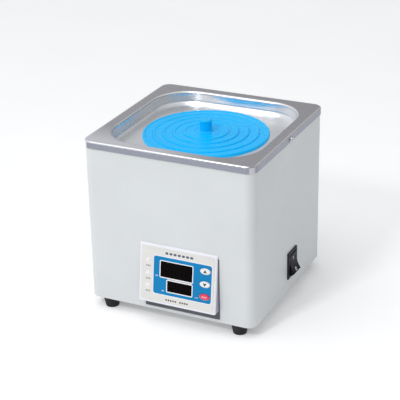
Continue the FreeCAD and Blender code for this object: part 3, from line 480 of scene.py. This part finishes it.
FASCIA_N = 0.2           # top of the overlay above the middle of its sheet
INK_LOW = FASCIA_N - 0.02
INK_HIGH = FASCIA_N + 0.05
MARK_LOW = -0.02         # marks on the keys and the rocker, about the surface they lie on
MARK_HIGH = 0.05
UPPER = PANEL.place(centre_of("upper_window"))
LOWER = PANEL.place(centre_of("lower_window"))
UPPER_SIZE = (38.0, 18.0)
LOWER_SIZE = (29.4, 12.6)
KEYS = {name: PANEL.place(centre_of(name)) for name in ("key_up", "key_down", "key_set")}
LIGHTS = {name: PANEL.place(centre_of(name))
          for name in ("indicator_light_1", "indicator_light_2", "indicator_light_3")}
KEY_HOLE = (6.25, 3.75)
LIGHT_HOLE = 2.6
LIGHT_RING = 3.2
FRAME_LINE = 0.95
FRAME_HOLE = 1.8         # the blue area's hole is this much wider than its window
FRAME_RADIUS = 1.5
WINDOW_RADIUS = 0.75
LAP = 0.1                # a white line's hole is this much narrower than what it surrounds
BLUE = (6.0, 1.0, 68.6, 43.0, 2.6)  # middle, width, height and corner radius
BLUE_BORDER = 1.3        # the white border is this much wider than the blue area
# The painted shadow's dark sheet reaches this far past the housing, on the right and below.
PANEL_SHADOW_PROUD = (1.0, 10.4)  # past the housing on the right and below
PLATE = (62, 36, 2.5)    # width, height and corner radius
PLATE_RIVETS = (27.5, 14.5)  # from its middle
# Shares of the window's height, of a digit's height (twice) and of the window's width.
DIGIT = {"height": 0.70, "width": 0.52, "bar": 0.085, "row": 0.92}


def key_row(name):
    """Middle of a key on the face, without its height."""
    return KEYS[name][0], KEYS[name][1]


def overlay(name, outlines, ink, lift=0.0):
    """A print on the panel's overlay."""
    printed(name, PANEL, outlines, INK[ink], "bath", INK_LOW, INK_HIGH + lift)


def window_frames():
    """White line round each window."""
    for name, place, size in (("upper_frame", UPPER, UPPER_SIZE), ("lower_frame", LOWER, LOWER_SIZE)):
        u, v, _ = place
        width, height = size
        outer = rounded(u, v, width + 2 * FRAME_LINE, height + 2 * FRAME_LINE, FRAME_RADIUS)
        overlay(name, [outer, rounded(u, v, width - LAP, height - LAP, WINDOW_RADIUS)], "white")


def blue_area():
    """Blue ground with holes for the windows and keys, and the white border round it."""
    outlines = [rounded(*BLUE)]
    for place, (width, height) in ((UPPER, UPPER_SIZE), (LOWER, LOWER_SIZE)):
        outlines.append(rounded(place[0], place[1], width + FRAME_HOLE, height + FRAME_HOLE, FRAME_RADIUS))
    for name in KEYS:
        outlines.append(oval(*key_row(name), *KEY_HOLE))
    overlay("blue_area", outlines, "blue", -0.01)
    u, v, width, height, radius = BLUE
    border = [rounded(u, v, width + BLUE_BORDER, height + BLUE_BORDER, radius + 0.6),
              rounded(u, v, width - LAP, height - LAP, radius)]
    overlay("blue_border", border, "white", -0.02)


def dashes(name, u, v, count, pitch, width, height, ink, lift=0.0):
    """A row of plain dashes about u, v in place of lettering."""
    places = [u + (k - (count - 1) / 2) * pitch for k in range(count)]
    overlay(name, [rounded(place, v, width, height, height * 0.3, 3) for place in places], ink, lift)


def hatching():
    """Hatched strip between the two windows."""
    low = LOWER[1] + LOWER_SIZE[1] / 2 + FRAME_LINE
    high = UPPER[1] - UPPER_SIZE[1] / 2 - FRAME_LINE
    left = LOWER[0] - LOWER_SIZE[0] / 2
    right = LOWER[0] + LOWER_SIZE[0] / 2
    middle = (low + high) / 2
    ground = slanted((left + right) / 2, middle, right - left, high - low, lean=0.8)
    overlay("hatch_ground", [ground], "pale")
    pitch = 1.7
    count = int((right - left) / pitch)
    bars = [slanted(left + pitch * (k + 0.5), middle, 0.75, high - low, lean=0.8) for k in range(count)]
    overlay("hatch_bars", bars, "silver", 0.02)


def small_marks():
    """White marks beside the windows and the red key, where the real panel is lettered."""
    dashes("mark_upper", UPPER[0] - UPPER_SIZE[0] / 2 - 4.3, UPPER[1] - 8.4,
           count=2, pitch=1.4, width=0.8, height=1.5, ink="white", lift=0.02)
    dashes("mark_lower", LOWER[0] - LOWER_SIZE[0] / 2 - 4.7, LOWER[1] - 6.3,
           count=2, pitch=1.4, width=0.8, height=1.4, ink="white", lift=0.02)
    dashes("mark_set", KEYS["key_set"][0] - 9.6, KEYS["key_set"][1] - 2.8,
           count=3, pitch=1.3, width=0.8, height=0.8, ink="white", lift=0.02)


def light_marks():
    """White ring and a row of plain marks for each indicator light."""
    for name, (u, v, _) in LIGHTS.items():
        ring = [oval(u, v, LIGHT_RING, LIGHT_RING, 32), oval(u, v, LIGHT_HOLE, LIGHT_HOLE, 32)]
        overlay(name + "_ring", ring, "white", 0.03)
        dashes(name + "_mark", u, v - 5.9, count=3, pitch=1.9, width=1.3, height=1.5, ink="grey")


def captions():
    """Plain dashes where the real panel carries a mark above and a caption below the blue area."""
    above = BLUE[1] + BLUE[3] / 2 + 4.6
    below = BLUE[1] - BLUE[3] / 2 - 5.4
    dashes("upper_dashes", BLUE[0] - 4.4, above, count=7, pitch=4.9, width=3.4, height=2.5, ink="slate")
    dashes("caption_left", -6.8, below, count=5, pitch=2.75, width=1.8, height=1.9, ink="dark")
    dashes("caption_right", 8.4, below, count=4, pitch=2.75, width=1.8, height=1.9, ink="dark")


def key_marks():
    """Arrowheads on the two white keys and plain bars on the red one."""
    side, tip, tail, notch = 2.2, 2.1, 1.7, 1.2
    for name, way in (("key_up", 1), ("key_down", -1)):
        u, v = key_row(name)
        arrow = [(u, v + tip * way), (u - side * way, v - tail * way), (u, v - notch * way),
                 (u + side * way, v - tail * way)]
        printed(name + "_mark", PANEL, [arrow], INK["dark"], name, MARK_LOW, MARK_HIGH, name)
    u, v = key_row("key_set")
    bars = [rounded(u + k * 2.1, v, 1.3, 1.9, 0.3, 3) for k in (-1, 0, 1)]
    printed("key_set_mark", PANEL, bars, INK["pink"], "key_set", MARK_LOW, MARK_HIGH, "key_set")


def rocker_marks():
    """The usual I and O on the two halves of the rocker."""
    face = Face(centre_of("rocker"), Vector((0, 1, 0)), Vector((0, 0, 1)))
    half_way = span_of("rocker").z / MM * 0.25
    ring = [oval(0, -half_way, 1.9, 1.9, 24), oval(0, -half_way, 1.2, 1.2, 24)]
    bar = [rounded(0, half_way, 0.9, 3.6, 0.3, 3)]
    for name, outlines in (("rocker_off_mark", ring), ("rocker_on_mark", bar)):
        printed(name, face, outlines, INK["white"], "rocker", MARK_LOW, MARK_HIGH, "rocker")


def unlit_digits():
    """Unlit seven-bar digits, just visible in the dark windows."""
    for node, place, size, count in (("upper_window", UPPER, UPPER_SIZE, 3),
                                     ("lower_window", LOWER, LOWER_SIZE, 4)):
        tall = size[1] * DIGIT["height"]
        wide = tall * DIGIT["width"]
        thick = tall * DIGIT["bar"]
        pitch = size[0] * DIGIT["row"] / count
        for digit in range(count):
            u = place[0] + (digit - (count - 1) / 2) * pitch
            bars = []
            for row in (-1, 0, 1):
                bars.append(rounded(u + 0.06 * row * tall, place[1] + row * tall / 2, wide * 0.72, thick,
                                    thick * 0.3, 2))
            for side in (-1, 1):
                for row in (-1, 1):
                    bars.append(slanted(u + side * wide / 2 + 0.03 * row * tall, place[1] + row * tall / 4,
                                        thick, tall * 0.38, lean=0.05 * tall))
            printed("%s_digit_%d" % (node, digit + 1), PANEL, bars, INK["ghost"], "bath", 0.0, 0.012,
                    node)


def painted_panel_shadow():
    """Dark sheet shaped as a silicone seal between the panel housing and the casing, proud of it below
    and on the right. It is a painted shadow: the panel's shadow on the casing, laid on as a dark band."""
    low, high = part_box("panel_housing")
    face = Face(Vector((0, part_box("casing")[0].y, 0)), Vector((1, 0, 0)), Vector((0, 0, 1)))
    inset_left, inset_top, rim = 3.0, 4.0, 9
    left, right = low.x / MM + inset_left, high.x / MM + PANEL_SHADOW_PROUD[0]
    bottom, top = low.z / MM - PANEL_SHADOW_PROUD[1], high.z / MM - inset_top
    outer = rounded((left + right) / 2, (bottom + top) / 2, right - left, top - bottom, 1.0)
    inner = rounded((low.x + high.x) / 2 / MM, (low.z + high.z) / 2 / MM, (high.x - low.x) / MM - rim,
                    (high.z - low.z) / MM - rim, 1.0)
    # Painted shadow: a dark sheet on the casing round the panel housing.
    printed("painted_panel_shadow", face, [outer, inner], MATERIALS["panel_shadow_dark"], "bath", 0.0, 0.5)


def rating_plate():
    """Blank rating plate on the back, a guess: bright sheet, four rivets, rows of plain bars."""
    low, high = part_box("casing")
    middle = Vector(((low.x + high.x) / 2, high.y, high.z * 0.6))
    face = Face(middle, Vector((-1, 0, 0)), Vector((0, 0, 1)))
    printed("rating_plate", face, [rounded(0, 0, *PLATE)], MATERIALS["stainless"], "bath", -0.05, 0.4)
    bars = [rounded(-4 + 2 * (row % 2), 10 - 5 * row, 40 - 7 * (row % 3), 1.3, 0.4, 3) for row in range(5)]
    printed("rating_bars", face, bars, INK["grey"], "bath", 0.38, 0.44)
    for k, (su, sv) in enumerate(((-1, -1), (1, -1), (1, 1), (-1, 1))):
        place = face.at(su * PLATE_RIVETS[0], sv * PLATE_RIVETS[1], 0.35)
        rivet("rating_rivet_%d" % (k + 1), place, face.out, radius=1.6, height=0.7)


def rivet(name, place, out, radius, height, sides=20, steps=4):
    """Domed rivet head."""
    form = bmesh.new()
    rings = []
    for step in range(steps):
        angle = math.radians(90 * step / steps)
        r, h = radius * math.cos(angle), height * math.sin(angle)
        turn = [2 * math.pi * k / sides for k in range(sides)]
        rings.append([form.verts.new((r * math.cos(t) * MM, r * math.sin(t) * MM, h * MM)) for t in turn])
    tip = form.verts.new((0, 0, height * MM))
    for k in range(sides):
        after = (k + 1) % sides
        for lower, upper in zip(rings, rings[1:]):
            form.faces.new((lower[k], lower[after], upper[after], upper[k]))
        form.faces.new((rings[-1][k], rings[-1][after], tip))
    form.faces.new(list(reversed(rings[0])))
    mesh = bpy.data.meshes.new(name)
    form.to_mesh(mesh)
    form.free()
    mesh.transform(Matrix.Translation(place) @ out.to_track_quat("Z", "Y").to_matrix().to_4x4())
    mesh.polygons.foreach_set("use_smooth", [True] * len(mesh.polygons))
    attach(name, mesh, MATERIALS["screw_steel"], "bath")


window_frames()
blue_area()
hatching()
small_marks()
light_marks()
captions()
key_marks()
rocker_marks()
unlit_digits()
# Painted shadow of the panel on the casing.
painted_panel_shadow()
rating_plate()


# ---------------------------------------------------------------- studio
AIR = {"all": 0.15, "above": 0.55, "left": 0.43}
AIR_TINT = (0.97, 0.985, 1.0, 1.0)
BACKDROP = 0.97          # what the camera sees behind the floor, in place of the air's level
FLOOR_REACH = 4.0        # from the middle to an edge
FLOOR_GLOW = 0.22
AIM = (0, 0, 0.12)


def area_light(name, place, size, power):
    """Rectangular light turned to the middle of the object."""
    data = bpy.data.lights.new(name, "AREA")
    data.shape = "RECTANGLE"
    data.size, data.size_y = size
    data.energy = power
    lamp = bpy.data.objects.new(name, data)
    lamp.location = place
    lamp.rotation_euler = (Vector(AIM) - Vector(place)).to_track_quat("-Z", "Y").to_euler()
    bpy.context.scene.collection.objects.link(lamp)


def air():
    """Soft light from all round, stronger from above and from the left, before a pale backdrop."""
    world = bpy.data.worlds.new("studio_air")
    world.use_nodes = True
    tree = world.node_tree
    where = tree.nodes.new("ShaderNodeTexCoord")
    split = tree.nodes.new("ShaderNodeSeparateXYZ")
    tree.links.new(where.outputs["Generated"], split.inputs[0])
    level = AIR["all"]
    for axis, sign, share in (("Z", 1, AIR["above"]), ("X", -1, AIR["left"])):
        side = tree.nodes.new("ShaderNodeMath")
        side.operation = "MULTIPLY"
        side.use_clamp = True
        tree.links.new(split.outputs[axis], side.inputs[0])
        side.inputs[1].default_value = sign
        gain = tree.nodes.new("ShaderNodeMath")
        gain.operation = "MULTIPLY_ADD"
        tree.links.new(side.outputs[0], gain.inputs[0])
        gain.inputs[1].default_value = share
        feed(tree, gain.inputs[2], level)
        level = gain.outputs[0]
    backdrop = tree.nodes.new("ShaderNodeMix")
    tree.links.new(tree.nodes.new("ShaderNodeLightPath").outputs["Is Camera Ray"], backdrop.inputs["Factor"])
    tree.links.new(level, backdrop.inputs["A"])
    backdrop.inputs["B"].default_value = BACKDROP
    tree.links.new(backdrop.outputs["Result"], tree.nodes["Background"].inputs["Strength"])
    tree.nodes["Background"].inputs["Color"].default_value = AIR_TINT
    bpy.context.scene.world = world


def floor():
    """White paper under the object. Its faint glow keeps it near white, as it is in the photo."""
    mesh = bpy.data.meshes.new("floor")
    form = bmesh.new()
    bmesh.ops.create_grid(form, x_segments=8, y_segments=8, size=FLOOR_REACH)
    form.to_mesh(mesh)
    form.free()
    f = Finish("floor_paper", Specular_IOR_Level=0.1, Emission_Color=(1, 1, 1, 1),
               Emission_Strength=FLOOR_GLOW)
    f.colour(f.mix(f.spread(f.noise(6, 2), 0, 1), (0.93, 0.93, 0.93, 1), (0.95, 0.95, 0.95, 1)))
    f.rough(0.9)
    mesh.materials.append(f.material)
    sheet = bpy.data.objects.new("floor", mesh)
    bpy.context.scene.collection.objects.link(sheet)


def camera():
    """Camera at the photo's view: from the front right, looking 24 degrees down, slightly rolled."""
    azimuth = math.radians(25.787)
    elevation = math.radians(24.211)
    roll = math.radians(-1.174)
    offset = Vector((0.57546, -1.20977, 0.70803))
    forward = Vector((-math.sin(azimuth) * math.cos(elevation), math.cos(azimuth) * math.cos(elevation),
                      -math.sin(elevation)))
    level = Vector((math.cos(azimuth), math.sin(azimuth), 0))
    above = level.cross(forward)
    right = level * math.cos(roll) + above * math.sin(roll)
    up = right.cross(forward)
    data = bpy.data.cameras.new("camera")
    data.lens = 117.84
    data.sensor_width = 36
    view = bpy.data.objects.new("camera", data)
    deck = centre_of("deck")
    place = Vector((deck.x, deck.y, 0)) + offset
    turn = Matrix((right, up, -forward)).transposed().to_4x4()
    view.matrix_world = Matrix.Translation(place) @ turn
    bpy.context.scene.collection.objects.link(view)
    bpy.context.scene.camera = view


air()
floor()
area_light("key_light", (-0.23, -1.17, 1.19), (0.22, 0.22), 6.2)
area_light("top_light", (-0.4, -0.95, 2.6), (2.0, 1.4), 11.8)
camera()
bpy.context.scene.view_settings.view_transform = "Standard"
